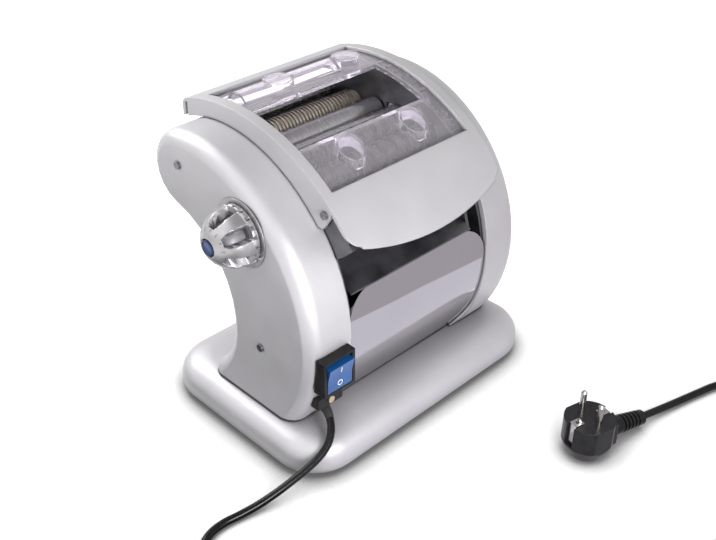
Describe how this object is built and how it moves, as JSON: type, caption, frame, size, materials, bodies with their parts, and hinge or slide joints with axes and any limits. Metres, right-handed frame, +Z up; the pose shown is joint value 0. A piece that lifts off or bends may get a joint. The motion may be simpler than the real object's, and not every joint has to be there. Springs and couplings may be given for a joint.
{
  "type": "electric pasta maker",
  "caption": "Electric pasta maker with drum-shaped side housings on a wide base, a curved hood with a clear feed guard, sheet rollers, cutters, thickness knob, rocker switch and mains cord.",
  "frame": {"origin": "on the floor under the middle of the machine's bounding box, the free cord and plug left out", "axes": "+X right along the rollers, away from the knob side; +Y to the back; +Z up"},
  "size_m": [0.4473, 0.432, 0.2486],
  "materials": {
    "painted": "satin silver paint",
    "chrome": "polished",
    "clear": "clear moulded plastic",
    "roller_steel": "ground steel",
    "cutter_steel": "machined steel",
    "plate_steel": "zinc plated",
    "screw_steel": "plated",
    "bronze": "turned",
    "gear_steel": "machined",
    "gear_plastic": "moulded",
    "cast": "die cast",
    "motor_steel": "black enamel",
    "knob_metal": "satin silver",
    "blue": "glossy blue",
    "black_plastic": "semi gloss",
    "rubber": "matt",
    "grey_plastic": "matt",
    "brass": "plated",
    "plug_plastic": "fine grained",
    "pin_metal": "nickel plated",
    "cable": "smooth"
  },
  "bodies": {
    "frame": {"base_shell": "painted", "base_plate": "plate_steel", "rubber_feet": "rubber", "base_screws": "screw_steel", "left_housing": "painted", "right_housing": "painted", "housing_screws": "screw_steel", "left_frame_plate": "plate_steel", "right_frame_plate": "plate_steel", "gear_plate": "plate_steel", "adjuster_plate": "plate_steel", "tie_rods": "screw_steel", "frame_screws": "screw_steel", "front_panel": "chrome", "rear_panel": "painted", "outlet_chute": "plate_steel", "hood": "painted", "clear_guard": "clear", "hood_screws": "screw_steel", "fine_comb": "plate_steel", "wide_comb": "plate_steel", "roller_bushes": "bronze", "axle_pins": "screw_steel", "gearbox": "cast", "motor": "motor_steel", "dial_ring": "knob_metal", "switch_bezel": "black_plastic", "switch_body": "grey_plastic", "rocker_pin": "screw_steel", "cord_clamp": "black_plastic", "clamp_screw": "brass", "strain_relief": "rubber", "power_cord": "cable", "cord_coil": "cable", "plug_body": "plug_plastic", "plug_pins": "pin_metal", "earth_contacts": "pin_metal", "plug_boot": "cable"},
    "fixed_roller": {"fixed_roller": "roller_steel", "fixed_roller_gear": "gear_steel"},
    "carriage": {"roller_carriage": "cast"},
    "moving_roller": {"moving_roller": "roller_steel", "moving_roller_gear": "gear_steel"},
    "fine_front": {"fine_cutter_front": "cutter_steel", "fine_front_gear": "gear_steel"},
    "fine_rear": {"fine_cutter_rear": "cutter_steel", "fine_rear_gear": "gear_steel"},
    "wide_rear": {"wide_cutter_rear": "cutter_steel", "wide_rear_gear": "gear_steel"},
    "wide_front": {"wide_cutter_front": "cutter_steel", "wide_front_gear": "gear_steel"},
    "main_gear": {"main_gear": "gear_plastic"},
    "idler_gear": {"idler_gear": "gear_plastic"},
    "pinion": {"motor_pinion": "gear_steel"},
    "knob": {"knob": "knob_metal", "knob_cap": "blue", "knob_spindle": "screw_steel", "adjuster_cam": "bronze"},
    "rocker": {"switch_rocker": "blue"}
  },
  "joints": [
    {"name": "roller_spin", "type": "hinge", "parent": "frame", "child": "fixed_roller", "pos_m": [0.0075, 0.0286, 0.206], "axis": [1, 0, 0], "continuous": true},
    {"name": "roller_gap", "type": "slide", "parent": "frame", "child": "carriage", "axis": [0, 1, 0], "range_m": [0, 0.0022]},
    {"name": "moving_roller_spin", "type": "hinge", "parent": "carriage", "child": "moving_roller", "pos_m": [0.0075, 0.0056, 0.206], "axis": [1, 0, 0], "continuous": true},
    {"name": "fine_front_spin", "type": "hinge", "parent": "frame", "child": "fine_front", "pos_m": [0.0075, 0.0524, 0.206], "axis": [1, 0, 0], "continuous": true},
    {"name": "fine_rear_spin", "type": "hinge", "parent": "frame", "child": "fine_rear", "pos_m": [0.0075, 0.06853, 0.19384], "axis": [1, 0, 0], "continuous": true},
    {"name": "wide_rear_spin", "type": "hinge", "parent": "frame", "child": "wide_rear", "pos_m": [0.0075, -0.0136, 0.214], "axis": [1, 0, 0], "continuous": true},
    {"name": "wide_front_spin", "type": "hinge", "parent": "frame", "child": "wide_front", "pos_m": [0.0075, -0.03006, 0.20411], "axis": [1, 0, 0], "continuous": true},
    {"name": "main_gear_spin", "type": "hinge", "parent": "frame", "child": "main_gear", "pos_m": [0.0075, 0.01711, 0.17443], "axis": [1, 0, 0], "continuous": true},
    {"name": "idler_gear_spin", "type": "hinge", "parent": "frame", "child": "idler_gear", "pos_m": [0.0075, -0.01435, 0.18623], "axis": [1, 0, 0], "continuous": true},
    {"name": "pinion_spin", "type": "hinge", "parent": "frame", "child": "pinion", "pos_m": [0.0075, 0.00705, 0.1468], "axis": [1, 0, 0], "continuous": true},
    {"name": "knob_turn", "type": "hinge", "parent": "frame", "child": "knob", "pos_m": [-0.1025, -0.012, 0.18], "axis": [1, 0, 0], "range_deg": [0, 280]},
    {"name": "rocker_tip", "type": "hinge", "parent": "frame", "child": "rocker", "pos_m": [-0.087, -0.07878, 0.088], "axis": [1, 0, 0], "range_deg": [-16, 0]}
  ],
  "couplings": [
    {"joint": "moving_roller_spin", "follows": "roller_spin", "ratio": -1},
    {"joint": "fine_front_spin", "follows": "roller_spin", "ratio": -1},
    {"joint": "fine_rear_spin", "follows": "roller_spin", "ratio": 1},
    {"joint": "main_gear_spin", "follows": "roller_spin", "ratio": -0.54839},
    {"joint": "idler_gear_spin", "follows": "roller_spin", "ratio": 1},
    {"joint": "wide_front_spin", "follows": "roller_spin", "ratio": -1},
    {"joint": "wide_rear_spin", "follows": "roller_spin", "ratio": 1},
    {"joint": "pinion_spin", "follows": "roller_spin", "ratio": 1.5455},
    {"joint": "roller_gap", "follows": "knob_turn", "m_per_rad": 0.00045018}
  ]
}
